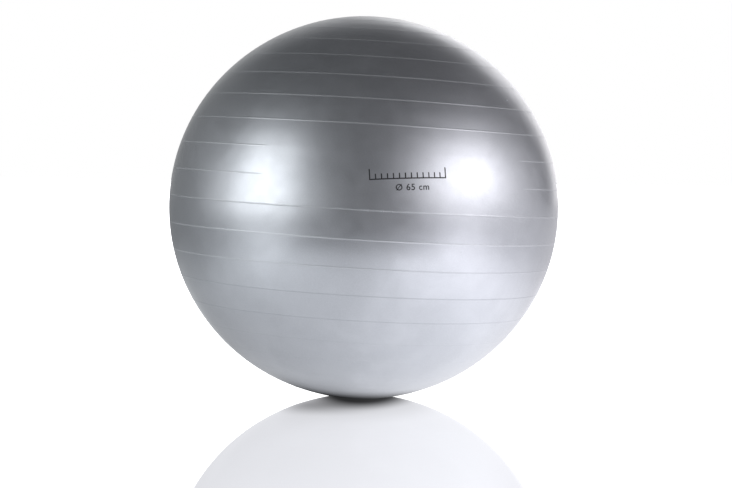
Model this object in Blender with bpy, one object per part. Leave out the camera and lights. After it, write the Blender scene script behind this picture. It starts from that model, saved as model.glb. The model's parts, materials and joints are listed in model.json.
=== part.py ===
"""A 65 cm exercise ball standing on a floor: a thin ribbed PVC shell, the valve seat bonded in its wall,
and the barbed plug that closes the seat.

Metres, +Z up. The origin is the middle of the flat patch on which the ball rests, so the floor is z = 0.
"""

import math

import bmesh
import bpy
from mathutils import Matrix, Vector

# ---- Driving dimensions of the shell -------------------------------------------------------------
DIAMETER = 0.650  # widest part of the inflated ball, over the ribs
WALL = 0.0008  # thickness of the stretched PVC wall
SAG = 0.982  # the ball's height over its width, as its own weight squats it
STAND_HEIGHT = 0.3177  # centre above the floor, a little less than the squat radius
FOOT_PRESS = 0.0010  # skin this close to the floor is pressed flat on it, which makes the foot

RIB_HEIGHT = 0.0006  # how far a moulded grip rib stands out of the skin
RIB_WIDTH = 0.0022
RIB_PITCH = math.radians(8)  # angle between neighbouring ribs, seen from the centre
PARTING_LATITUDE = math.radians(1)  # of the rib on the mould's parting line
RIBS_EACH_SIDE = 10  # either side of that rib; the caps beyond are smooth
CAP_STEPS = 5  # rings of facets in a cap, from the last rib to the pole
PANEL_RIBS = (1, 2)  # above the parting line, these two leave a smooth panel free for a printed mark
PANEL_TURN = math.radians(-79.5)  # middle of the panel, a little to the right of the front
PANEL_HALF_WIDTH = math.radians(39.5)
AXIS_LEAN = math.radians(2.7)  # the ribs' axis leans towards +X, the way the ball happened to roll

SKIN_RADIUS = DIAMETER / 2 - RIB_HEIGHT
BALL_STEPS = 48  # steps round the ribs' axis

# ---- Driving dimensions of the valve, outward being +Z of the valve's own frame ---------------------
VALVE_STEP = 15.5  # half steps land in the middle of a facet, so the valve sits on a flat pad
VALVE_GAP_BETWEEN_RIBS = 1.5  # midway between the first and the second rib above the parting line
FIT_GAP = 0.0003  # clearance left between any two pieces
TURNED_STEPS = 32
SMOOTH_BELOW = math.radians(40)  # an edge bent by more than this stays sharp
MERGE_DISTANCE = 1e-6  # joins the seam and the poles of a turned mesh

NECK_RADIUS = 0.0100  # the seat's round neck, flush in the hole of the shell
FLANGE_RADIUS = 0.0175  # the seat's flange, bonded behind the wall
FLANGE_THICKNESS = 0.0018
FLANGE_GAP = FIT_GAP + 0.0001  # behind the wall, which is a little thicker than WALL in a facet's middle
TUBE_RADIUS = 0.0070
SEAT_LENGTH = 0.0240
RECESS_RADIUS = 0.0069  # takes the plug's head
RECESS_DEPTH = 0.0020
BORE_RADIUS = 0.0043

HEAD_RADIUS = 0.0065
HEAD_DOME = 0.0004  # the head stands this proud of the seat at its middle
DOME_SHARES = (0.0, 0.4, 0.7, 1.0)  # where the dome's outline has its points, as shares of its radius
EDGE = 0.0003  # small chamfer round the head, the recess, the bore's mouth and the tube's end
STEM_RADIUS = 0.0032
BARB_RADIUS = BORE_RADIUS - FIT_GAP
BARBS = 4
BARB_PITCH = 0.0040
BARB_STEEP = 0.0003  # length of a barb's steep flank, which faces the head
BARB_TAPER = 0.0028  # length of its long flank, which faces the tip
FIRST_BARB = 0.0042  # depth of the first barb below the seat's face
TIP_LENGTH = 0.0020
TIP_RADIUS = 0.0018

HOLE_RADIUS = NECK_RADIUS + FIT_GAP
HOLE_REACH = 0.0050  # the cutter's reach, either way, through the wall

LEAN = Matrix.Rotation(AXIS_LEAN, 4, "Y")
SQUAT = Matrix.Diagonal((1, 1, SAG, 1))


def clear_scene():
    for obj in list(bpy.data.objects):
        bpy.data.objects.remove(obj, do_unlink=True)


def material(name, colour, roughness, metallic=0.0):
    made = bpy.data.materials.new(name)
    made.use_nodes = True
    shader = made.node_tree.nodes["Principled BSDF"]
    shader.inputs["Base Color"].default_value = (*colour, 1.0)
    shader.inputs["Roughness"].default_value = roughness
    shader.inputs["Metallic"].default_value = metallic
    return made


def on_sphere(radius, latitude, turn):
    """A point of the round ball, before it leans and squats."""
    return radius * Vector(
        (
            math.cos(latitude) * math.cos(turn),
            math.cos(latitude) * math.sin(turn),
            math.sin(latitude),
        )
    )


def turned(profile, steps):
    """A closed mesh, made by spinning a profile of (radius, height) points round Z.

    A profile that doesn't begin and end on the axis closes on itself, as a ring does.
    """
    bm = bmesh.new()
    points = [bm.verts.new((radius, 0, height)) for radius, height in profile]
    links = list(zip(points, points[1:]))
    if profile[0][0] > 0:
        links.append((points[-1], points[0]))
    edges = [bm.edges.new(link) for link in links]
    bmesh.ops.spin(
        bm,
        geom=points + edges,
        axis=(0, 0, 1),
        cent=(0, 0, 0),
        steps=steps,
        angle=math.tau,
        use_merge=True,
    )
    bmesh.ops.remove_doubles(bm, verts=bm.verts, dist=MERGE_DISTANCE)
    bmesh.ops.recalc_face_normals(bm, faces=bm.faces)
    return bm


def settle_on_floor(bm, clearance):
    """Leans and squats a round ball, then presses its foot flat, clearance above the floor."""
    bmesh.ops.transform(bm, matrix=SQUAT @ LEAN, verts=bm.verts)
    bmesh.ops.translate(bm, vec=(0, 0, STAND_HEIGHT), verts=bm.verts)
    everything = bm.verts[:] + bm.edges[:] + bm.faces[:]
    bmesh.ops.bisect_plane(
        bm,
        geom=everything,
        plane_co=(0, 0, clearance + FOOT_PRESS),
        plane_no=(0, 0, -1),
        clear_outer=True,
    )
    rim = [edge for edge in bm.edges if edge.is_boundary]
    foot = bmesh.ops.contextual_create(bm, geom=rim)["faces"][0]
    for vert in foot.verts:
        vert.co.z = clearance
    bmesh.ops.recalc_face_normals(bm, faces=bm.faces)


def place(name, bm, look=None):
    """Makes an object of the mesh. Without a look it is a cutter, which isn't part of the ball."""
    mesh = bpy.data.meshes.new(name)
    bm.to_mesh(mesh)
    bm.free()
    mesh.shade_smooth()
    mesh.set_sharp_from_angle(angle=SMOOTH_BELOW)
    obj = bpy.data.objects.new(name, mesh)
    bpy.context.scene.collection.objects.link(obj)
    if look:
        mesh.materials.append(look)
    else:
        obj.hide_render = True
        obj.display_type = "WIRE"
    return obj


def cut(obj, cutter):
    boolean = obj.modifiers.new(f"cut_by_{cutter.name}", "BOOLEAN")
    boolean.operation = "DIFFERENCE"
    boolean.solver = "EXACT"
    boolean.object = cutter


# ---- The shell ----------------------------------------------------------------------------------


def rib_latitude(index):
    """Of a rib counted upwards from the one on the parting line."""
    return PARTING_LATITUDE + index * RIB_PITCH


def cap_latitudes(start, end):
    """The rings of vertices that lie between two latitudes."""
    return [start + (end - start) * step / CAP_STEPS for step in range(1, CAP_STEPS)]


def meridian(radius, ribs):
    """(radius, height) points from the lower pole to the upper one, with or without the ribs' crests."""
    half = RIB_WIDTH / 2 / radius
    crest = ((-half, 0), (0, RIB_HEIGHT), (half, 0)) if ribs else ((0, 0),)
    pole = math.pi / 2
    stops = [(latitude, 0) for latitude in cap_latitudes(-pole, rib_latitude(-RIBS_EACH_SIDE))]
    for index in range(-RIBS_EACH_SIDE, RIBS_EACH_SIDE + 1):
        stops += [(rib_latitude(index) + offset, rise) for offset, rise in crest]
    stops += [(latitude, 0) for latitude in cap_latitudes(rib_latitude(RIBS_EACH_SIDE), pole)]
    ring = [on_sphere(radius + rise, latitude, 0) for latitude, rise in stops]
    return [(0, -radius)] + [(point.x, point.z) for point in ring] + [(0, radius)]


def clear_panel(bm):
    """Lets the panel's ribs down to the skin."""
    lowest, highest = (rib_latitude(index) for index in (PANEL_RIBS[0] - 0.5, PANEL_RIBS[-1] + 0.5))
    for vert in bm.verts:
        latitude = math.asin(vert.co.z / vert.co.length)
        turn = math.atan2(vert.co.y, vert.co.x)
        in_panel = lowest < latitude < highest and abs(turn - PANEL_TURN) < PANEL_HALF_WIDTH
        if in_panel:
            vert.co = SKIN_RADIUS * vert.co.normalized()


def ball_solid(radius, ribs, clearance):
    bm = turned(meridian(radius, ribs), BALL_STEPS)
    if ribs:
        clear_panel(bm)
    settle_on_floor(bm, clearance)
    return bm


# ---- The valve ----------------------------------------------------------------------------------


def valve_axis():
    """An empty at the middle of the facet that holds the valve, its +Z pointing straight out of the ball."""
    half_step = math.tau / BALL_STEPS / 2
    turn = VALVE_STEP * math.tau / BALL_STEPS
    latitude = rib_latitude(VALVE_GAP_BETWEEN_RIBS)
    half_gap = RIB_PITCH / 2 - RIB_WIDTH / 2 / SKIN_RADIUS
    corners = [
        SQUAT @ LEAN @ on_sphere(SKIN_RADIUS, latitude + up * half_gap, turn + side * half_step)
        for up, side in ((-1, -1), (-1, 1), (1, 1), (1, -1))
    ]
    outward = (corners[2] - corners[0]).cross(corners[3] - corners[1]).normalized()
    below, above = (corners[0] + corners[1]) / 2, (corners[2] + corners[3]) / 2
    empty = bpy.data.objects.new("valve_axis", None)
    bpy.context.scene.collection.objects.link(empty)
    empty.location = (below + above) / 2 + Vector((0, 0, STAND_HEIGHT))
    empty.rotation_euler = outward.to_track_quat("Z", "Y").to_euler()
    return empty


def hole_cutter():
    reach = HOLE_REACH
    profile = [(0, -reach), (HOLE_RADIUS, -reach), (HOLE_RADIUS, reach), (0, reach)]
    return turned(profile, TURNED_STEPS)


def seat_solid():
    """The bonded seat: a neck flush with the skin, a flange behind the wall, and a tube into the ball."""
    flange_top = -WALL - FLANGE_GAP
    flange_base = flange_top - FLANGE_THICKNESS
    profile = [
        (NECK_RADIUS, 0),
        (RECESS_RADIUS + EDGE, 0),
        (RECESS_RADIUS, -EDGE),
        (RECESS_RADIUS, -RECESS_DEPTH),
        (BORE_RADIUS + EDGE, -RECESS_DEPTH),
        (BORE_RADIUS, -RECESS_DEPTH - EDGE),
        (BORE_RADIUS, -SEAT_LENGTH),
        (TUBE_RADIUS - EDGE, -SEAT_LENGTH),
        (TUBE_RADIUS, -SEAT_LENGTH + EDGE),
        (TUBE_RADIUS, flange_base),
        (FLANGE_RADIUS, flange_base),
        (FLANGE_RADIUS, flange_top),
        (NECK_RADIUS, flange_top),
    ]
    return turned(profile, TURNED_STEPS)


def plug_solid():
    """The plug: a thin domed head, and a stem whose barbs grip the bore."""
    head_base = -RECESS_DEPTH + FIT_GAP
    dome_radius = HEAD_RADIUS - EDGE
    profile = [(dome_radius * share, HEAD_DOME * (1 - share**2)) for share in DOME_SHARES]
    profile += [
        (HEAD_RADIUS, -EDGE),
        (HEAD_RADIUS, head_base),
        (STEM_RADIUS, head_base),
    ]
    for index in range(BARBS):
        top = -FIRST_BARB - index * BARB_PITCH
        profile += [
            (STEM_RADIUS, top),
            (BARB_RADIUS, top - BARB_STEEP),
            (STEM_RADIUS, top - BARB_STEEP - BARB_TAPER),
        ]
    tip = profile[-1][1] - TIP_LENGTH
    profile += [(TIP_RADIUS, tip), (0, tip)]
    return turned(profile, TURNED_STEPS)


def main():
    clear_scene()
    silver = material("silver_pvc", (0.42, 0.43, 0.45), roughness=0.34, metallic=0.75)
    grey = material("grey_pvc", (0.30, 0.31, 0.33), roughness=0.50)
    white = material("white_polyethylene", (0.82, 0.82, 0.80), roughness=0.40)

    shell = place("ball_shell", ball_solid(SKIN_RADIUS, True, 0.0), silver)
    cut(shell, place("cavity", ball_solid(SKIN_RADIUS - WALL, False, WALL)))

    axis = valve_axis()
    hole = place("valve_hole", hole_cutter())
    seat = place("valve_seat", seat_solid(), grey)
    plug = place("valve_plug", plug_solid(), white)
    for piece in (hole, seat, plug):
        piece.parent = axis
    cut(shell, hole)


main()
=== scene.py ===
"""The looks of a 65 cm exercise ball: its finely ribbed pearl skin, the valve's collar and plug, a printed
size mark, and the white studio around it. All sizes are in metres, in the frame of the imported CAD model.
"""

import json
import math
import random

import bmesh
import bpy
from mathutils import Matrix, Vector, noise


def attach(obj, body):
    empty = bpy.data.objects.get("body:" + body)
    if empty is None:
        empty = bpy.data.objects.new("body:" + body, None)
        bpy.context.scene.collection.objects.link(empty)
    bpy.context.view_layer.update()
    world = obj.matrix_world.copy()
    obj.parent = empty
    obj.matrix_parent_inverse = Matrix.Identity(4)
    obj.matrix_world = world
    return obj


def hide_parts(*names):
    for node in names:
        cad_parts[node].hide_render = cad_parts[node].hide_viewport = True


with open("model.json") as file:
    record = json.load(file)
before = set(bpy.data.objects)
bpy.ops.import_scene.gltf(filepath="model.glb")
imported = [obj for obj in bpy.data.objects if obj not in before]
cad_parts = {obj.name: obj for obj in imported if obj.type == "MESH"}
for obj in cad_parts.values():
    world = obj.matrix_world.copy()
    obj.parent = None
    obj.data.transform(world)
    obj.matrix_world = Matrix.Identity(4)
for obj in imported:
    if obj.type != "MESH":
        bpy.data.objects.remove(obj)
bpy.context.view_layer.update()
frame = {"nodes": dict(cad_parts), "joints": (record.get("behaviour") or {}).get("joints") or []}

# ---- The ball's driving dimensions, as the CAD model has them -------------------------------------------
DIAMETER = 0.650  # over the ribs
WALL = 0.0008
SAG = 0.982  # height over width, as the ball's weight squats it
STAND_HEIGHT = 0.3177  # centre above the floor
RIB_PITCH = math.radians(8)
PARTING_LATITUDE = math.radians(1)  # of the rib on the mould's parting line
RIBS_EACH_SIDE = 10
PANEL_RIBS = (1, 2)  # these two stop at the smooth panel that carries the print
PANEL_TURN = math.radians(-79.5)
PANEL_HALF_WIDTH = math.radians(39.5)
AXIS_LEAN = math.radians(2.7)

# ---- What the fine skin adds ---------------------------------------------------------------------------
RIB_HEIGHT = 0.0002  # lower and wider than the CAD model's ribs, so that they are softer in the light
RIB_WIDTH = 0.0030
SKIN_RADIUS = DIAMETER / 2 - RIB_HEIGHT
PANEL_FADE = math.radians(1.5)  # over which a rib sinks into the panel
PILLOW = 0.00006  # how far the skin swells between two ribs
WAVE_HEIGHT = 0.0003  # slow unevenness of a wall that isn't equally thick everywhere
WAVE_LENGTH = 0.16
FOOT_BLEND = 0.0004  # height over which the skin turns flat on the floor
PAD_RADIUS = 0.0175  # flat skin over the seat's stiff flange
PAD_EDGE = 0.0320  # where the skin is round again

COLUMNS = 288  # steps round the ribs' axis
RIB_ROWS = (-1.3, -1.0, -0.5, 0.0, 0.5, 1.0, 1.3)  # rows of vertices across a rib, in its half widths
INNER_ROWS = (-1.0, 1.0)
GAP_STEPS = 4  # rows of faces between two ribs
INNER_GAP_STEPS = 2
VALVE_GAP_STEPS = 8
CAP_STEPS = 5
BLOCK_ROWS = 3  # half height and half width, in faces, of the block that gives way to the valve's hole
BLOCK_COLUMNS = 2
PATCH_RINGS = 4
CREST_ATTRIBUTE = "rib_crest"  # the attribute that tells the skin's material where a rib's crest is, for the crests' painted highlight and shade

# ---- The valve -----------------------------------------------------------------------------------------
HOLE_RADIUS = 0.0103
NECK_RADIUS = 0.0100
LIP_RADIUS = 0.0117
LIP_HEIGHT = 0.00035
FLANGE_RADIUS = 0.0175
FLANGE_TOP = -0.0012
FLANGE_BASE = -0.0030
TUBE_RADIUS = 0.0070
SEAT_LENGTH = 0.0240
RECESS_RADIUS = 0.0069
RECESS_DEPTH = 0.0020
BORE_RADIUS = 0.0043
HEAD_RADIUS = 0.0065
HEAD_DOME = 0.0004
HEAD_BASE = -0.0017
STEM_RADIUS = 0.0032
BARB_RADIUS = 0.0040
BARBS = 4
BARB_PITCH = 0.0040
FIRST_BARB = 0.0042
BARB_STEEP = 0.0003
BARB_TAPER = 0.0028
TIP_LENGTH = 0.0020
TIP_RADIUS = 0.0018
LIP_FILLET = 0.00025
FILLET = 0.0003  # the usual rounding of a moulded edge
FINE_FILLET = 0.0002
WIDE_FILLET = 0.0006
ROOT_FILLET = 0.0010  # between the tube and the flange
GROOVE_RADIUS = 0.00975  # of the middle of the groove round the lip
GROOVE_HALF_TOP = 0.00035
GROOVE_HALF_FLOOR = 0.00015
GROOVE_DEPTH = 0.00015
RECESS_FLARE = 0.0002
GATE_RADIUS = 0.0008  # of the mark that the mould's gate leaves in the plug's head
GATE_FLOOR_RADIUS = 0.0006
GATE_DEPTH = 0.00015
BARB_FILLET = 0.00012
TIP_FILLET = 0.0004
CLOSE_GAP = 0.00003  # left between the collar's lip and the skin
TURNED_STEPS = 96
ARC_STEPS = 4  # faces in a rounded corner
DOME_STEPS = 8
FLAT_WITHIN = 0.00001  # the seat's vertices this near its top are its outer face
MERGE_DISTANCE = 0.000001

CENTRE = Vector((0, 0, STAND_HEIGHT))
LEAN = Matrix.Rotation(AXIS_LEAN, 3, "Y")
SQUAT = Matrix.Diagonal((1, 1, SAG))
SHAPE = SQUAT @ LEAN
UNSHAPE = SHAPE.inverted()


def smooth_step(low, high, value):
    share = min(max((value - low) / (high - low), 0), 1)
    return share * share * (3 - 2 * share)


def new_object(name, bm, material, sharp_above=40):
    """An object of the mesh, shaded smooth except along edges bent by more than sharp_above degrees."""
    bmesh.ops.recalc_face_normals(bm, faces=bm.faces)
    mesh = bpy.data.meshes.new(name)
    bm.to_mesh(mesh)
    bm.free()
    mesh.shade_smooth()
    mesh.set_sharp_from_angle(angle=math.radians(sharp_above))
    mesh.materials.append(material)
    obj = bpy.data.objects.new(name, mesh)
    bpy.context.scene.collection.objects.link(obj)
    return obj


# ---- Node trees ----------------------------------------------------------------------------------------

USUAL_NOISE = (0.3, 0.7)  # most values of a noise node lie between these


def add(tree, kind, inputs=(), **settings):
    """A new node. Each of its inputs is a constant or another node's output, under its name or number."""
    node = tree.nodes.new("ShaderNode" + kind)
    for name, value in settings.items():
        setattr(node, name, value)
    for key, value in dict(inputs).items():
        if isinstance(value, bpy.types.NodeSocket):
            tree.links.new(value, node.inputs[key])
        else:
            node.inputs[key].default_value = value
    return node


def math_node(tree, operation, *values):
    return add(tree, "Math", enumerate(values), operation=operation).outputs[0]


def square(tree, value):
    return math_node(tree, "MULTIPLY", value, value)


def map_range(tree, value, low, high, to_low=0.0, to_high=1.0, kind="SMOOTHSTEP"):
    inputs = {"Value": value, "From Min": low, "From Max": high, "To Min": to_low, "To Max": to_high}
    return add(tree, "MapRange", inputs, interpolation_type=kind).outputs["Result"]


def distance_from(tree, place, point):
    return add(tree, "VectorMath", {0: place, 1: point}, operation="DISTANCE").outputs["Value"]


def grey(tree, level):
    return add(tree, "CombineXYZ", {0: level, 1: level, 2: level}).outputs[0]


def noise_node(tree, vector, size, detail=2.0, distortion=0.0, roughness=0.5):
    """Noise whose features are about this size, in metres."""
    inputs = {"Vector": vector, "Scale": 1 / size, "Detail": detail}
    inputs |= {"Distortion": distortion, "Roughness": roughness}
    return add(tree, "TexNoise", inputs).outputs["Fac"]


def spread(tree, noise_value, low=0.0, high=1.0):
    """Maps the usual values of noise to this range."""
    return map_range(tree, noise_value, *USUAL_NOISE, low, high)


def mix_colour(tree, factor, first, second, blend="MIX"):
    node = add(tree, "Mix", {"Factor": factor}, data_type="RGBA", blend_type=blend)
    for key, value in ((6, first), (7, second)):
        if isinstance(value, bpy.types.NodeSocket):
            tree.links.new(value, node.inputs[key])
        else:
            node.inputs[key].default_value = (*value, 1.0)
    return node.outputs[2]


def bump(tree, height, depth, below=None):
    """A bump that is this deep, in metres, where the height is 1, on top of another bump's normal."""
    inputs = {"Height": height, "Distance": depth, "Strength": 1.0}
    if below:
        inputs["Normal"] = below
    return add(tree, "Bump", inputs).outputs["Normal"]


def new_material(name):
    """An empty node material: its tree, its Principled BSDF's node and the object's own coordinates."""
    material = bpy.data.materials.new(name)
    material.use_nodes = True
    tree = material.node_tree
    shader = tree.nodes["Principled BSDF"]
    place = add(tree, "TexCoord").outputs["Object"]
    return material, tree, shader, place


def feed(tree, shader, **inputs):
    """Sets or links inputs of the shader, whose names are written here with _ for a space."""
    for name, value in inputs.items():
        socket = shader.inputs[name.replace("_", " ")]
        if isinstance(value, bpy.types.NodeSocket):
            tree.links.new(value, socket)
        else:
            socket.default_value = value


# ---- Materials: colours, sizes of noise in metres, and depths of bumps in metres -------------------------

DARK_SILVER = (0.460, 0.480, 0.522)
PALE_SILVER = (0.519, 0.540, 0.586)
CLOUD_SILVER = (0.430, 0.450, 0.495)
FLAKE_SILVER = (0.648, 0.670, 0.730)
SWIRL_SIZE = 0.11
SWIRL_RANGE = (0.35, 0.65)
CLOUD_SIZE = 0.035
CLOUD_SHARE = 0.25
FLAKE_SIZE = 0.0006
FLAKE_RANGE = (0.4, 0.75)
FLAKE_SHARE = 0.5
HAZE_SIZE = 0.02
HAZE_ROUGHNESS = (0.37, 0.42)
RUB_SIZE = 0.004
RUB_RANGE = (0.6, 0.8)
RUB_ROUGHNESS = 0.05
RIPPLE_SIZE = 0.018
RIPPLE_DEPTH = 0.00005
PEEL_SIZE = 0.0022
PEEL_DEPTH = 0.000012
SKIN_METALLIC = 0.85
COAT_WEIGHT = 0.5
COAT_ROUGHNESS = 0.22
COAT_IOR = 1.5

# Crest colours of the ribs: a painted highlight on the upper ones and a painted shade on the lower ones.
PAINTED_HIGHLIGHT_RIB = (0.57, 0.59, 0.63)
PAINTED_SHADE_RIB = (0.30, 0.32, 0.36)  # painted shade on the crests of the lower half's ribs, darker as the light falls there
RIB_SHADE_HEIGHTS = (0.20, 0.25)  # heights between which one turns into the other
CREST_FADE_BELOW = (0.10, 0.17)  # underneath, the crests' painted shade, roughness and metallic fade to the share below
CREST_FADE_SHARE = 0.1
CREST_SHARE = 0.5  # of the painted highlight and shade in a crest's colour
CREST_METALLIC = 0.60
CREST_ROUGHNESS = 0.12  # more than beside the rib
SHADED_HEIGHT = 0.028  # this close to the floor, little light gets in under the ball
SHADED_LIGHT = 0.25

DARK_COLLAR = (0.27, 0.28, 0.30)
PALE_COLLAR = (0.34, 0.35, 0.37)
COLLAR_CLOUD_SIZE = 0.004
COLLAR_ROUGHNESS = (0.45, 0.6)
COLLAR_GRAIN_SIZE = 0.0005
COLLAR_GRAIN_DEPTH = 0.00002

YELLOWED_WHITE = (0.80, 0.80, 0.77)
CLEAN_WHITE = (0.86, 0.86, 0.84)
PLUG_CLOUD_SIZE = 0.006
SCRATCH_SIZE = 0.0008
SCRATCH_RANGE = (0.45, 0.7)
SCRATCH_DEPTH = 0.00001
PLUG_ROUGHNESS = (0.32, 0.5)
WAXINESS = 0.3
WAX_DEPTH = 0.002

FULL_INK = (0.012, 0.012, 0.014)
THIN_INK = (0.035, 0.035, 0.04)
INK_CLOUD_SIZE = 0.003
INK_CLOUD_RANGE = (0.35, 0.7)
INK_ROUGHNESS = (0.38, 0.5)
INK_GRAIN_SIZE = 0.0007
INK_GRAIN_DEPTH = 0.000008


def silver_tone(tree, place, crest, height):
    """The skin's colour: swirls, clouds and pearl flakes, and a painted highlight and shade on the ribs'
    crests, paler high up and darker low down.
    """
    swirl = noise_node(tree, place, SWIRL_SIZE, detail=3, distortion=0.6)
    cloud = noise_node(tree, place, CLOUD_SIZE, detail=3)
    flake = noise_node(tree, place, FLAKE_SIZE, detail=1)
    tone = mix_colour(tree, map_range(tree, swirl, *SWIRL_RANGE), DARK_SILVER, PALE_SILVER)
    tone = mix_colour(tree, spread(tree, cloud, 0, CLOUD_SHARE), tone, CLOUD_SILVER)
    tone = mix_colour(tree, map_range(tree, flake, *FLAKE_RANGE, 0, FLAKE_SHARE), tone, FLAKE_SILVER)
    # painted shade on the lower ribs' crests, painted highlight on the upper ones
    painted_crest_light = mix_colour(tree, map_range(tree, height, *RIB_SHADE_HEIGHTS), PAINTED_SHADE_RIB, PAINTED_HIGHLIGHT_RIB)
    return mix_colour(tree, math_node(tree, "MULTIPLY", crest, CREST_SHARE), tone, painted_crest_light)


def silver_roughness(tree, place, crest):
    haze = noise_node(tree, place, HAZE_SIZE, detail=4, roughness=0.6)
    rub = noise_node(tree, place, RUB_SIZE, detail=3, distortion=1.5)
    roughness = spread(tree, haze, *HAZE_ROUGHNESS)
    roughness = math_node(tree, "ADD", roughness, map_range(tree, rub, *RUB_RANGE, 0, RUB_ROUGHNESS))
    return math_node(tree, "ADD", roughness, math_node(tree, "MULTIPLY", crest, CREST_ROUGHNESS))


def silver_pvc():
    """Soft PVC coloured with silver pearl: a broad metallic sheen in the wall and a shinier skin over it."""
    material, tree, shader, place = new_material("silver_pvc")
    height = add(tree, "SeparateXYZ", {0: place}).outputs["Z"]
    crest = add(tree, "Attribute", attribute_name=CREST_ATTRIBUTE).outputs["Fac"]
    crest = math_node(tree, "MULTIPLY", crest, map_range(tree, height, *CREST_FADE_BELOW, CREST_FADE_SHARE, 1.0))
    lit = map_range(tree, height, 0.0, SHADED_HEIGHT, SHADED_LIGHT, 1.0)
    tone = silver_tone(tree, place, crest, height)
    tone = mix_colour(tree, 1.0, tone, grey(tree, lit), blend="MULTIPLY")
    roughness = silver_roughness(tree, place, crest)
    metallic = map_range(tree, crest, 0.0, 1.0, SKIN_METALLIC, CREST_METALLIC, "LINEAR")
    ripple = bump(tree, noise_node(tree, place, RIPPLE_SIZE), RIPPLE_DEPTH)
    peel = bump(tree, noise_node(tree, place, PEEL_SIZE, detail=1), PEEL_DEPTH, ripple)
    feed(tree, shader, Base_Color=tone, Metallic=metallic, Roughness=roughness, Normal=peel)
    feed(tree, shader, Specular_Tint=grey(tree, lit))
    coat = math_node(tree, "MULTIPLY", lit, COAT_WEIGHT)
    feed(tree, shader, Coat_Weight=coat, Coat_Roughness=COAT_ROUGHNESS, Coat_IOR=COAT_IOR, Coat_Normal=ripple)
    return material


def grey_pvc():
    """The softer, duller PVC of the valve's collar."""
    material, tree, shader, place = new_material("grey_pvc")
    cloud = noise_node(tree, place, COLLAR_CLOUD_SIZE, detail=3)
    tone = mix_colour(tree, spread(tree, cloud), DARK_COLLAR, PALE_COLLAR)
    roughness = spread(tree, cloud, *COLLAR_ROUGHNESS)
    normal = bump(tree, noise_node(tree, place, COLLAR_GRAIN_SIZE), COLLAR_GRAIN_DEPTH)
    feed(tree, shader, Base_Color=tone, Roughness=roughness, Normal=normal)
    return material


def white_polyethylene():
    """The hard, waxy plastic of the plug, a little yellowed and scratched."""
    material, tree, shader, place = new_material("white_polyethylene")
    cloud = noise_node(tree, place, PLUG_CLOUD_SIZE)
    tone = mix_colour(tree, spread(tree, cloud), YELLOWED_WHITE, CLEAN_WHITE)
    scratch = noise_node(tree, place, SCRATCH_SIZE, detail=3, distortion=3.0)
    roughness = map_range(tree, scratch, *SCRATCH_RANGE, *PLUG_ROUGHNESS)
    normal = bump(tree, scratch, SCRATCH_DEPTH)
    feed(tree, shader, Base_Color=tone, Roughness=roughness, Normal=normal)
    feed(tree, shader, Subsurface_Weight=WAXINESS, Subsurface_Scale=WAX_DEPTH)
    return material


def print_ink():
    """Screen-printed black ink: slightly uneven, and thinner in places."""
    material, tree, shader, place = new_material("print_ink")
    cloud = noise_node(tree, place, INK_CLOUD_SIZE, detail=3)
    tone = mix_colour(tree, map_range(tree, cloud, *INK_CLOUD_RANGE), FULL_INK, THIN_INK)
    roughness = spread(tree, cloud, *INK_ROUGHNESS)
    normal = bump(tree, noise_node(tree, place, INK_GRAIN_SIZE), INK_GRAIN_DEPTH)
    feed(tree, shader, Base_Color=tone, Roughness=roughness, Normal=normal)
    return material


# ---- The valve's place, read from the frame --------------------------------------------------------------


def valve_frame():
    """The middle of the seat's outer face, with +Z pointing straight out of the ball."""
    outward = Vector(frame["joints"][0]["axis"]).normalized()
    turned_up = outward.to_track_quat("Z", "Y").to_matrix()
    points = [turned_up.transposed() @ vert.co for vert in frame["nodes"]["valve_seat"].data.vertices]
    top = max(point.z for point in points)
    face = [point for point in points if point.z > top - FLAT_WITHIN]
    middle = [(min(p[axis] for p in face) + max(p[axis] for p in face)) / 2 for axis in (0, 1)]
    place = turned_up.to_4x4()
    place.translation = turned_up @ Vector((*middle, top))
    return place


VALVE = valve_frame()
VALVE_CENTRE = VALVE.translation
VALVE_OUT = VALVE.to_3x3().col[2].normalized()


# ---- The skin ------------------------------------------------------------------------------------------


def latitude_and_turn(direction):
    """Of the skin where this direction from the ball's centre meets it."""
    round_point = (UNSHAPE @ direction).normalized()
    return math.asin(round_point.z), math.atan2(round_point.y, round_point.x)


def rib_latitude(index):
    return PARTING_LATITUDE + index * RIB_PITCH


def outside_panel(turn):
    """0 in the smooth panel and 1 outside it."""
    away = abs((turn - PANEL_TURN + math.pi) % math.tau - math.pi)
    return smooth_step(0, PANEL_FADE, away - PANEL_HALF_WIDTH)


def rib_share(latitude, turn):
    """1 on the crest of a rib, and 0 beside it."""
    place = (latitude - PARTING_LATITUDE) / RIB_PITCH
    index = round(place)
    across = (place - index) * RIB_PITCH * SKIN_RADIUS / (RIB_WIDTH / 2)
    if abs(across) >= 1 or abs(index) > RIBS_EACH_SIDE:
        return 0
    shown = outside_panel(turn) if index in PANEL_RIBS else 1
    return shown * (1 + math.cos(math.pi * across)) / 2


def swelling(latitude, turn):
    """How far the skin swells here, between two ribs."""
    place = (latitude - PARTING_LATITUDE) / RIB_PITCH
    if abs(place) > RIBS_EACH_SIDE + 0.5:
        return 0
    beside_panel = PANEL_RIBS[0] - 1 < place < PANEL_RIBS[-1] + 1
    shown = outside_panel(turn) if beside_panel else 1
    return PILLOW * shown * (1 - math.cos(math.tau * place)) / 2


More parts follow.
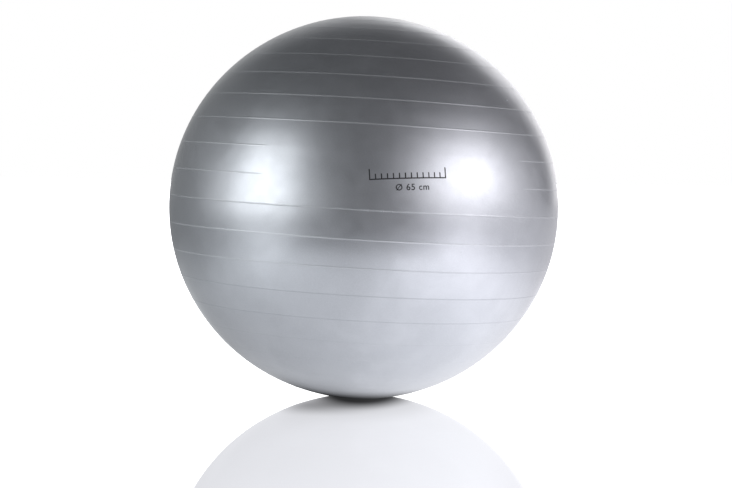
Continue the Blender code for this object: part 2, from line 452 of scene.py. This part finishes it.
def skin_point(latitude, turn, depth=0.0):
    """A point of the wall, this far below its outer face."""
    direction = Vector(
        (
            math.cos(latitude) * math.cos(turn),
            math.cos(latitude) * math.sin(turn),
            math.sin(latitude),
        )
    )
    rise = 0
    if depth < WALL:
        rise = RIB_HEIGHT * rib_share(latitude, turn) + swelling(latitude, turn)
    wave = WAVE_HEIGHT * noise.noise(direction * (SKIN_RADIUS / WAVE_LENGTH))
    point = SHAPE @ (direction * (SKIN_RADIUS - PILLOW + rise + wave - depth)) + CENTRE
    from_valve = (point - VALVE_CENTRE).length
    flat = 1 - smooth_step(PAD_RADIUS, PAD_EDGE, from_valve)
    if flat > 0:
        point -= VALVE_OUT * (((point - VALVE_CENTRE).dot(VALVE_OUT) + depth) * flat)
    above_floor = point.z - depth
    if above_floor < -FOOT_BLEND:
        point.z = depth
    elif above_floor < FOOT_BLEND:
        point.z = depth + (above_floor + FOOT_BLEND) ** 2 / (4 * FOOT_BLEND)
    return point


def between(start, end, steps):
    return [start + (end - start) * step / steps for step in range(1, steps)]


def skin_latitudes(rib_rows, gap_steps):
    """Rows of vertices from pole to pole, without the poles, and the number of the row through the valve."""
    half = RIB_WIDTH / 2 / SKIN_RADIUS
    valve_latitude = latitude_and_turn(VALVE_CENTRE - CENTRE)[0]
    rows = between(-math.pi / 2, rib_latitude(-RIBS_EACH_SIDE) + rib_rows[0] * half, CAP_STEPS)
    valve_row = None
    for index in range(-RIBS_EACH_SIDE, RIBS_EACH_SIDE + 1):
        middle = rib_latitude(index)
        rows += [middle + half * place for place in rib_rows]
        if index == RIBS_EACH_SIDE:
            break
        holds_valve = middle < valve_latitude < middle + RIB_PITCH
        steps = VALVE_GAP_STEPS if holds_valve else gap_steps
        if holds_valve:
            valve_row = len(rows) + steps // 2 - 1
        rows += between(rows[-1], middle + RIB_PITCH + half * rib_rows[0], steps)
    return rows + between(rows[-1], math.pi / 2, CAP_STEPS), valve_row


def add_ring(bm, latitude, step, depth):
    """A ring of the wall's vertices, which also say how much of a rib's crest each is."""
    rib_crest = bm.verts.layers.float[CREST_ATTRIBUTE]
    ring = []
    for column in range(COLUMNS):
        vert = bm.verts.new(skin_point(latitude, column * step, depth))
        vert[rib_crest] = rib_share(latitude, column * step)
        ring.append(vert)
    return ring


def add_pole(bm, ring, latitude, depth):
    pole = bm.verts.new(skin_point(latitude, 0, depth))
    for first, second in zip(ring, ring[1:] + ring[:1]):
        bm.faces.new((first, second, pole))


def add_wall_face(bm, rib_rows, gap_steps, depth):
    """One face of the wall, with a round hole for the valve. Returns the vertices round the hole."""
    latitudes, valve_row = skin_latitudes(rib_rows, gap_steps)
    step = math.tau / COLUMNS
    rows = [add_ring(bm, latitude, step, depth) for latitude in latitudes]
    valve_column = round(latitude_and_turn(VALVE_CENTRE - CENTRE)[1] / step)
    left, right = valve_column - BLOCK_COLUMNS, valve_column + BLOCK_COLUMNS
    low, high = valve_row - BLOCK_ROWS, valve_row + BLOCK_ROWS
    for row in range(len(rows) - 1):
        for column in range(COLUMNS):
            if low <= row < high and left <= column < right:
                continue
            after = (column + 1) % COLUMNS
            bm.faces.new((rows[row][column], rows[row][after], rows[row + 1][after], rows[row + 1][column]))
    add_pole(bm, rows[0], -math.pi / 2, depth)
    add_pole(bm, rows[-1], math.pi / 2, depth)
    for row in range(low + 1, high):
        for column in range(left + 1, right):
            bm.verts.remove(rows[row][column])
    block = [rows[low][column] for column in range(left, right)]
    block += [rows[row][right] for row in range(low, high)]
    block += [rows[high][column] for column in range(right, left, -1)]
    block += [rows[row][left] for row in range(high, low, -1)]
    return add_patch(bm, block, depth)


def add_patch(bm, block, depth):
    """Rings of faces from the edge of the block to the valve's round hole."""
    to_valve = VALVE.inverted()
    edge = [to_valve @ vert.co for vert in block]
    outer = block
    for ring in range(1, PATCH_RINGS + 1):
        share = ring / PATCH_RINGS
        inner = []
        for start in edge:
            angle = math.atan2(start.y, start.x)
            end = Vector((HOLE_RADIUS * math.cos(angle), HOLE_RADIUS * math.sin(angle), -depth))
            inner.append(bm.verts.new(VALVE @ start.lerp(end, share)))
        join_loops(bm, outer, inner)
        outer = inner
    return outer


def join_loops(bm, first, second):
    for index, vert in enumerate(first):
        before = index - 1
        bm.faces.new((first[before], vert, second[index], second[before]))


def ball_skin(material):
    bm = bmesh.new()
    bm.verts.layers.float.new(CREST_ATTRIBUTE)
    outer_hole = add_wall_face(bm, RIB_ROWS, GAP_STEPS, 0.0)
    inner_hole = add_wall_face(bm, INNER_ROWS, INNER_GAP_STEPS, WALL)
    join_loops(bm, outer_hole, inner_hole)
    return new_object("ball_skin", bm, material)


# ---- Round pieces ----------------------------------------------------------------------------------------


def rounded(corners):
    """Points of an outline whose corners, (radius, height, fillet), are rounded by their fillets."""
    points = []
    for index, (radius, height, fillet) in enumerate(corners):
        corner = Vector((radius, height))
        if not fillet:
            points.append(corner)
            continue
        back = (Vector(corners[index - 1][:2]) - corner).normalized()
        ahead = (Vector(corners[(index + 1) % len(corners)][:2]) - corner).normalized()
        half_angle = back.angle(ahead) / 2
        middle = corner + (back + ahead).normalized() * (fillet / math.sin(half_angle))
        start = corner + back * (fillet / math.tan(half_angle)) - middle
        end = corner + ahead * (fillet / math.tan(half_angle)) - middle
        for step in range(ARC_STEPS + 1):
            points.append(middle + start.lerp(end, step / ARC_STEPS).normalized() * fillet)
    return points


def turned_piece(name, outline, material):
    """Spins an outline of (radius, height) points round the valve's axis."""
    bm = bmesh.new()
    verts = [bm.verts.new((point[0], 0, point[1])) for point in outline]
    links = list(zip(verts, verts[1:]))
    if outline[0][0] > 0:
        links.append((verts[-1], verts[0]))
    edges = [bm.edges.new(link) for link in links]
    bmesh.ops.spin(
        bm,
        geom=verts + edges,
        axis=(0, 0, 1),
        cent=(0, 0, 0),
        steps=TURNED_STEPS,
        angle=math.tau,
        use_merge=True,
    )
    bmesh.ops.remove_doubles(bm, verts=bm.verts, dist=MERGE_DISTANCE)
    bmesh.ops.transform(bm, matrix=VALVE, verts=bm.verts)
    return new_object(name, bm, material)


def valve_collar(material):
    """The bonded seat, with a low lip over the edge of the hole and a moulded groove round the lip."""
    outline = rounded(
        [
            (LIP_RADIUS, CLOSE_GAP, 0),
            (LIP_RADIUS, LIP_HEIGHT, LIP_FILLET),
            (GROOVE_RADIUS + GROOVE_HALF_TOP, LIP_HEIGHT, 0),
            (GROOVE_RADIUS + GROOVE_HALF_FLOOR, LIP_HEIGHT - GROOVE_DEPTH, 0),
            (GROOVE_RADIUS - GROOVE_HALF_FLOOR, LIP_HEIGHT - GROOVE_DEPTH, 0),
            (GROOVE_RADIUS - GROOVE_HALF_TOP, LIP_HEIGHT, 0),
            (RECESS_RADIUS + RECESS_FLARE, LIP_HEIGHT, FILLET),
            (RECESS_RADIUS, -RECESS_DEPTH, FINE_FILLET),
            (BORE_RADIUS, -RECESS_DEPTH, FINE_FILLET),
            (BORE_RADIUS, -SEAT_LENGTH, FILLET),
            (TUBE_RADIUS, -SEAT_LENGTH, WIDE_FILLET),
            (TUBE_RADIUS, FLANGE_BASE, ROOT_FILLET),
            (FLANGE_RADIUS, FLANGE_BASE, WIDE_FILLET),
            (FLANGE_RADIUS, FLANGE_TOP, WIDE_FILLET),
            (NECK_RADIUS, FLANGE_TOP, 0),
            (NECK_RADIUS, CLOSE_GAP, 0),
        ]
    )
    return turned_piece("valve_collar", outline, material)


def plug(material):
    """The plug: a thin domed head with the mark of the moulding gate in it, and a barbed stem."""
    dome = [
        (0, HEAD_DOME - GATE_DEPTH),
        (GATE_FLOOR_RADIUS, HEAD_DOME - GATE_DEPTH),
        (GATE_RADIUS, HEAD_DOME),
    ]
    for step in range(1, DOME_STEPS):
        share = step / DOME_STEPS
        radius = GATE_RADIUS + (HEAD_RADIUS - FILLET - GATE_RADIUS) * share
        dome.append((radius, HEAD_DOME * (1 - share**2)))
    body = [
        (HEAD_RADIUS, 0, FILLET),
        (HEAD_RADIUS, HEAD_BASE, FINE_FILLET),
        (STEM_RADIUS, HEAD_BASE, FILLET),
    ]
    for index in range(BARBS):
        top = -FIRST_BARB - index * BARB_PITCH
        body += [
            (STEM_RADIUS, top, 0),
            (BARB_RADIUS, top - BARB_STEEP, BARB_FILLET),
            (STEM_RADIUS, top - BARB_STEEP - BARB_TAPER, 0),
        ]
    tip = body[-1][1] - TIP_LENGTH
    corners = [(0, HEAD_DOME, 0)] + body + [(TIP_RADIUS, tip, TIP_FILLET), (0, tip, 0)]
    outline = [Vector(point) for point in dome] + rounded(corners)[1:]
    return turned_piece("plug", outline, material)


# ---- Print and moulding marks ----------------------------------------------------------------------------

PRINT_AZIMUTH = math.radians(12.0)  # from the front, towards +X
PRINT_ELEVATION = math.radians(10.9)
PRINT_ROLL = math.radians(1.9)  # the print rises a little to the right
SCALE_LENGTH = 0.1205
SCALE_HEIGHT = 0.0172
SCALE_STEPS = 13
SHORT_TICK = 0.55  # of the two end ticks' height
STROKE = 0.0019
TEXT_DROP = 0.0208  # of the figures' middle below the scale's
TEXT_SHIFT = 0.0055
TEXT_HEIGHT = 0.0098
CAPITAL_SHARE = 0.72  # a capital's height over the font's size
LETTER_SPACING = 1.1
TEXT = "\u00d8 65 cm"
BOLDER = 0.00018  # added to each side of the figures' strokes
INK_LIFT = 0.00008
INK_THICKNESS = 0.00012
LONGEST_EDGE = 0.003  # of the scale's faces
EDGE_SLACK = 1.5  # edges longer than this many times that are cut in three


def direction_of(azimuth, elevation):
    return Vector(
        (
            math.sin(azimuth) * math.cos(elevation),
            -math.cos(azimuth) * math.cos(elevation),
            math.sin(elevation),
        )
    )


def skin_towards(direction, lift=0.0):
    latitude, turn = latitude_and_turn(direction)
    return skin_point(latitude, turn, -lift)


def flat_grid(bm, low, high):
    """A flat rectangle of small faces between two corners."""
    counts = [max(1, math.ceil((high[axis] - low[axis]) / LONGEST_EDGE)) for axis in (0, 1)]
    rows = [
        [
            bm.verts.new(
                (
                    low[0] + (high[0] - low[0]) * column / counts[0],
                    low[1] + (high[1] - low[1]) * row / counts[1],
                    0,
                )
            )
            for column in range(counts[0] + 1)
        ]
        for row in range(counts[1] + 1)
    ]
    for below, above in zip(rows, rows[1:]):
        for column in range(counts[0]):
            bm.faces.new((below[column], below[column + 1], above[column + 1], above[column]))


def flat_scale(bm):
    """A graduated scale, the general sign for a printed size: a base line and ticks of two heights."""
    half = SCALE_LENGTH / 2
    base = -SCALE_HEIGHT / 2
    flat_grid(bm, (-half, base), (half, base + STROKE))
    for step in range(SCALE_STEPS + 1):
        middle = -half + STROKE / 2 + (SCALE_LENGTH - STROKE) * step / SCALE_STEPS
        tall = step in (0, SCALE_STEPS)
        top = base + (SCALE_HEIGHT if tall else SCALE_HEIGHT * SHORT_TICK)
        flat_grid(bm, (middle - STROKE / 2, base + STROKE), (middle + STROKE / 2, top))


def flat_text(bm):
    """The size in figures, as flat faces under the scale."""
    curve = bpy.data.curves.new("size_text", "FONT")
    curve.body = TEXT
    curve.align_x = "CENTER"
    curve.size = TEXT_HEIGHT / CAPITAL_SHARE
    curve.space_character = LETTER_SPACING
    curve.offset = BOLDER
    carrier = bpy.data.objects.new("size_text", curve)
    bpy.context.scene.collection.objects.link(carrier)
    bpy.context.view_layer.update()
    mesh = carrier.to_mesh()
    letters = bmesh.new()
    letters.from_mesh(mesh)
    carrier.to_mesh_clear()
    bpy.data.objects.remove(carrier)
    shift = Vector((TEXT_SHIFT, -TEXT_DROP - TEXT_HEIGHT / 2, 0))
    bmesh.ops.translate(letters, vec=shift, verts=letters.verts)
    made = bpy.data.meshes.new("size_text")
    letters.to_mesh(made)
    letters.free()
    bm.from_mesh(made)
    bpy.data.meshes.remove(made)


def size_mark(material):
    """The printed size: thin closed bodies of ink that follow the skin."""
    bm = bmesh.new()
    flat_scale(bm)
    flat_text(bm)
    bmesh.ops.remove_doubles(bm, verts=bm.verts, dist=MERGE_DISTANCE)
    long_edges = [edge for edge in bm.edges if edge.calc_length() > LONGEST_EDGE * EDGE_SLACK]
    bmesh.ops.subdivide_edges(bm, edges=long_edges, cuts=2)
    bmesh.ops.triangulate(bm, faces=bm.faces)
    bmesh.ops.solidify(bm, geom=bm.faces[:], thickness=INK_THICKNESS)
    ahead = direction_of(PRINT_AZIMUTH, PRINT_ELEVATION)
    across = Vector((math.cos(PRINT_AZIMUTH), math.sin(PRINT_AZIMUTH), 0))
    across.rotate(Matrix.Rotation(PRINT_ROLL, 3, ahead))
    upward = ahead.cross(across)
    lowest = min(vert.co.z for vert in bm.verts)
    for vert in bm.verts:
        towards = ahead * SKIN_RADIUS + across * vert.co.x + upward * vert.co.y
        vert.co = skin_towards(towards, INK_LIFT + vert.co.z - lowest - INK_THICKNESS)
    return new_object("size_mark", bm, material)


MARKS_SEED = 65
FRONT_TURN = -90  # degrees, round the ribs' axis
BACK_TURNS = (0, 180)
NUBS_AHEAD = (1.1, 5.1, 7.5)  # degrees from the front, on the parting line
NUB_SIZE = (0.0006, 0.0018, 0.0006)  # half width, half height and half thickness
SMALL_NUB_SIZE = (0.0004, 0.0012, 0.0004)
SMALL_NUBS = 14  # all on the back half
PIMPLE_SIZE = (0.0013, 0.0013, 0.0007)
PIMPLE_AHEAD = (math.radians(56.6), math.radians(33.4))  # azimuth and elevation of the one in front
SMALL_PIMPLE_SIZE = (0.0006, 0.0006, 0.0004)
SMALL_PIMPLES = 16
PIMPLE_BAND = (-0.8, 0.9)  # sines of the lowest and the highest elevation


def add_nub(bm, middle, outward, size):
    """A small rounded lump, half sunk in the skin."""
    up = Vector((0, 0, 1))
    across = up.cross(outward).normalized()
    upward = outward.cross(across)
    turn = Matrix((across, upward, outward)).transposed().to_4x4()
    place = Matrix.Translation(middle) @ turn @ Matrix.Diagonal((*size, 1))
    bmesh.ops.create_icosphere(bm, subdivisions=2, radius=1, matrix=place)


def moulding_marks(material):
    """Flash nubs along the parting line, and a few pimples where the mould had pin holes."""
    draw = random.Random(MARKS_SEED)
    bm = bmesh.new()
    nubs = [(angle + FRONT_TURN, NUB_SIZE) for angle in NUBS_AHEAD]
    nubs += [(draw.uniform(*BACK_TURNS), SMALL_NUB_SIZE) for _ in range(SMALL_NUBS)]
    for turn, size in nubs:
        middle = skin_point(PARTING_LATITUDE, math.radians(turn))
        add_nub(bm, middle, (middle - CENTRE).normalized(), size)
    pimples = [(*PIMPLE_AHEAD, PIMPLE_SIZE)]
    for _ in range(SMALL_PIMPLES):
        azimuth = draw.uniform(-math.pi, math.pi)
        elevation = math.asin(draw.uniform(*PIMPLE_BAND))
        pimples.append((azimuth, elevation, SMALL_PIMPLE_SIZE))
    for azimuth, elevation, size in pimples:
        outward = direction_of(azimuth, elevation)
        add_nub(bm, skin_towards(outward), outward, size)
    return new_object("moulding_marks", bm, material)


# ---- The studio ------------------------------------------------------------------------------------------

# Soft lights, seen only as light and in the ball's sheen: azimuth from the front towards +X, elevation, half
# width, half height and softness of the edges, all in degrees, and strength.
LIGHTS = {
    "left box": (-60.5, 10.5, 17, 25, 5.5, 2.9),
    "left halo": (-59, -10, 33, 7.5, 22, 5.3),
    "left glow": (-122, 4, 46, 33, 17, 0.15),
    "right box": (63.5, 16.5, 22.5, 10.5, 18.5, 5.3),
    "right glow": (109, -1.5, 8.5, 26, 14.5, 0.8),
    "backdrop": (161, 13.5, 15, 18, 5, 1.3),
    "back glow": (180, 3.5, 16, 31, 18, 0.7),
}
ROOM = (0.056, 0.057, 0.058)
FLOOR_LIGHT = (0.97, 0.98, 1.0)
LEFT_CAST = (0.98, 1.0, 0.99)  # the lamps on the left are a little greener than those on the right
RIGHT_CAST = (1.03, 1.0, 1.01)
CAST_ACROSS = (-0.7, 0.7)
MIRRORED_WHITE = 3.5  # the overexposed backdrop, as the polished floor mirrors it
# Pools of light on the floor: x, y, reach and strength.
FLOOR_GLOWS = (
    (0.5, -0.25, 0.9, 0.95),
    (-0.73, -0.87, 1.0, 1.3),
    (0.66, -1.08, 0.88, 2.7),
    (0.07, 1.0, 0.95, 1.4),
)
BASE_ACROSS = (-0.3, 0.6)  # the rest of the floor's light changes evenly between these places
BASE_LEVELS = (0.5, 0.7)
FALL_ACROSS = (-1.5, -0.5)  # and falls off far to the left
FALL_LEVELS = (0.4, 1.0)
GANGWAY_START = (0.8, 1.05)  # the floor between the lights, before the camera, is dark from about here
GANGWAY_TURNS = (math.radians(30), math.radians(50))
# The dark under the ball, as seen: narrow, and a little behind the foot. The shadow lies to its left front.
CONTACT_BEHIND = 0.038
CONTACT_NARROW = 2.0
CONTACT_REACH = (0.100, 0.215)
CONTACT_LIGHT = 0.05
SHADOW_PLACE = (-0.065, -0.110, 0)
SHADOW_REACH = 0.130
SHADOW_LIGHT = 0.46
UNLIT_PLACE = (-0.035, 0.01, 0)  # the floor that gives the ball no light from below
UNLIT_REACH = (0.045, 0.155)
FLOOR_SIZE = 60.0
FLOOR_IOR = 1.49
FLOOR_DROP = -0.0002  # so that the ball's flat foot isn't in the floor's plane
MIRROR_SHARE = 0.78  # the sheet's polish isn't perfect
SHEET_TINT = (0.975, 0.980, 1.025)
SHEET_ACROSS = (-0.2, 0.2)  # painted light: the sheet, as seen, is a little brighter on the right
SHEET_LEVELS = (0.96, 1.05)


def light_mask(tree, direction, azimuth, elevation, half_width, half_height, softness):
    """1 inside a soft-edged box seen in this direction, 0 outside."""
    ahead = direction_of(math.radians(azimuth), math.radians(elevation))
    across = ahead.cross(Vector((0, 0, 1))).normalized()
    upward = across.cross(ahead)
    parts = []
    for axis in (ahead, across, upward):
        inputs = {0: direction, 1: tuple(axis)}
        parts.append(add(tree, "VectorMath", inputs, operation="DOT_PRODUCT").outputs["Value"])
    sideways = math_node(tree, "ARCTAN2", parts[1], parts[0])
    height = math_node(tree, "ARCSINE", parts[2])
    masks = []
    for angle, half in ((sideways, half_width), (height, half_height)):
        away = math_node(tree, "ABSOLUTE", angle)
        near, far = math.radians(half - softness), math.radians(half + softness)
        masks.append(map_range(tree, away, near, far, 1.0, 0.0))
    return math_node(tree, "MULTIPLY", *masks)


def side_cast(tree, across):
    """The colour cast of the light that comes from here, from left to right."""
    share = map_range(tree, across, *CAST_ACROSS, kind="LINEAR")
    return mix_colour(tree, share, LEFT_CAST, RIGHT_CAST)


def studio_world():
    """White to the eye and in the polished floor; to the ball's sheen, a dim room with a few soft lights."""
    world = bpy.data.worlds.new("studio")
    world.use_nodes = True
    tree = world.node_tree
    tree.nodes.clear()
    direction = add(tree, "TexCoord").outputs["Generated"]
    glow = ROOM
    for *box, strength in LIGHTS.values():
        level = math_node(tree, "MULTIPLY", light_mask(tree, direction, *box), strength)
        glow = mix_colour(tree, 1.0, glow, grey(tree, level), blend="ADD")
    sideways = add(tree, "SeparateXYZ", {0: direction}).outputs["X"]
    glow = mix_colour(tree, 1.0, glow, side_cast(tree, sideways), blend="MULTIPLY")
    path = add(tree, "LightPath")
    mirrored = math_node(tree, "MULTIPLY", path.outputs["Is Singular Ray"], MIRRORED_WHITE)
    white = math_node(tree, "MAXIMUM", path.outputs["Is Camera Ray"], mirrored)
    glow = mix_colour(tree, math_node(tree, "MINIMUM", white, 1.0), glow, grey(tree, white))
    background = add(tree, "Background", {"Color": glow, "Strength": 1.0})
    output = add(tree, "OutputWorld", {"Surface": background.outputs[0]})
    output.is_active_output = True
    bpy.context.scene.world = world


def floor_seen(tree, place, across, along):
    """What the eye sees: a white sheet, darker where the ball stands, and the ball mirrored in it."""
    narrowed = math_node(tree, "MULTIPLY", across, CONTACT_NARROW)
    ahead = math_node(tree, "SUBTRACT", along, CONTACT_BEHIND)
    from_contact = math_node(tree, "ADD", square(tree, narrowed), square(tree, ahead))
    from_contact = math_node(tree, "SQRT", from_contact)
    white = map_range(tree, from_contact, *CONTACT_REACH, CONTACT_LIGHT, 1.0)
    from_shadow = distance_from(tree, place, SHADOW_PLACE)
    shadow = map_range(tree, from_shadow, 0.0, SHADOW_REACH, SHADOW_LIGHT, 1.0)
    white = math_node(tree, "MULTIPLY", white, shadow)
    drift = map_range(tree, across, *SHEET_ACROSS, *SHEET_LEVELS, "LINEAR")
    white = math_node(tree, "MULTIPLY", white, drift)
    tinted = mix_colour(tree, 1.0, grey(tree, white), SHEET_TINT, blend="MULTIPLY")
    sheet = add(tree, "Emission", {"Color": tinted, "Strength": 1.0}).outputs[0]
    mirror = add(tree, "BsdfGlossy", {"Color": (1, 1, 1, 1), "Roughness": 0.0}).outputs[0]
    fresnel = add(tree, "Fresnel", {"IOR": FLOOR_IOR}).outputs[0]
    fresnel = math_node(tree, "MULTIPLY", fresnel, MIRROR_SHARE)
    return add(tree, "MixShader", {0: fresnel, 1: sheet, 2: mirror}).outputs[0]


def floor_light(tree, place, across, along):
    """What the ball gets from below: pools of light on a lit sheet, dark before the camera and under it."""
    level = map_range(tree, across, *BASE_ACROSS, *BASE_LEVELS, "LINEAR")
    level = math_node(tree, "MULTIPLY", level, map_range(tree, across, *FALL_ACROSS, *FALL_LEVELS))
    for x, y, reach, strength in FLOOR_GLOWS:
        pool = map_range(tree, distance_from(tree, place, (x, y, 0)), 0.0, reach, strength, 0.0)
        level = math_node(tree, "ADD", level, pool)
    turn = math_node(tree, "ARCTAN2", across, math_node(tree, "MULTIPLY", along, -1.0))
    gangway = map_range(tree, math_node(tree, "ABSOLUTE", turn), *GANGWAY_TURNS, 1.0, 0.0)
    from_middle = add(tree, "VectorMath", {0: place}, operation="LENGTH").outputs["Value"]
    dark = math_node(tree, "MULTIPLY", gangway, map_range(tree, from_middle, *GANGWAY_START))
    level = math_node(tree, "MULTIPLY", level, math_node(tree, "SUBTRACT", 1.0, dark))
    under = map_range(tree, distance_from(tree, place, UNLIT_PLACE), *UNLIT_REACH)
    level = math_node(tree, "MULTIPLY", level, under)
    colour = mix_colour(tree, 1.0, FLOOR_LIGHT, side_cast(tree, across), blend="MULTIPLY")
    return add(tree, "Emission", {"Color": colour, "Strength": level}).outputs[0]


def floor_material():
    """White polished sheet, which to the ball is only the light that comes up from it."""
    material = bpy.data.materials.new("studio_floor")
    material.use_nodes = True
    tree = material.node_tree
    tree.nodes.clear()
    place = add(tree, "NewGeometry").outputs["Position"]
    split = add(tree, "SeparateXYZ", {0: place})
    across, along = split.outputs["X"], split.outputs["Y"]
    to_ball = floor_light(tree, place, across, along)
    to_eye = floor_seen(tree, place, across, along)
    by_camera = add(tree, "LightPath").outputs["Is Camera Ray"]
    surface = add(tree, "MixShader", {0: by_camera, 1: to_ball, 2: to_eye}).outputs[0]
    add(tree, "OutputMaterial", {"Surface": surface})
    return material


def studio_floor():
    bm = bmesh.new()
    bmesh.ops.create_grid(bm, x_segments=1, y_segments=1, size=FLOOR_SIZE / 2)
    floor = new_object("studio_floor", bm, floor_material())
    floor.location.z = FLOOR_DROP


# ---- The camera and the whole scene ----------------------------------------------------------------------

CAMERA_ELEVATION = math.radians(1.57)  # of its place, seen from the ball's centre
CAMERA_DISTANCE = 2.8
CAMERA_SHIFT = 0.0029  # to the right
CAMERA_PITCH = math.radians(-2.81)
CAMERA_ROLL = math.radians(-0.72)
LENS = 81.98  # mm
SENSOR_WIDTH = 36  # mm


def camera():
    data = bpy.data.cameras.new("camera")
    data.lens = LENS
    data.sensor_width = SENSOR_WIDTH
    seen_from = CENTRE + direction_of(0, CAMERA_ELEVATION) * CAMERA_DISTANCE
    obj = bpy.data.objects.new("camera", data)
    obj.location = seen_from + Vector((CAMERA_SHIFT, 0, 0))
    obj.rotation_euler = (math.pi / 2 + CAMERA_PITCH, CAMERA_ROLL, 0)
    bpy.context.scene.collection.objects.link(obj)
    bpy.context.scene.camera = obj


def build():
    silver = silver_pvc()
    pieces = [
        (ball_skin(silver), "ball", "silver_pvc", "ball_shell"),
        (moulding_marks(silver), "ball", "silver_pvc", None),
        (size_mark(print_ink()), "ball", "print_ink", None),
        (valve_collar(grey_pvc()), "ball", "grey_pvc", "valve_seat"),
        (plug(white_polyethylene()), "plug", "white_polyethylene", "valve_plug"),
    ]
    for piece, body, slot, node in pieces:
        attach(piece, body)
        if node:
            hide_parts(node)


build()
studio_world()
studio_floor()
camera()
bpy.context.scene.view_settings.view_transform = "Standard"
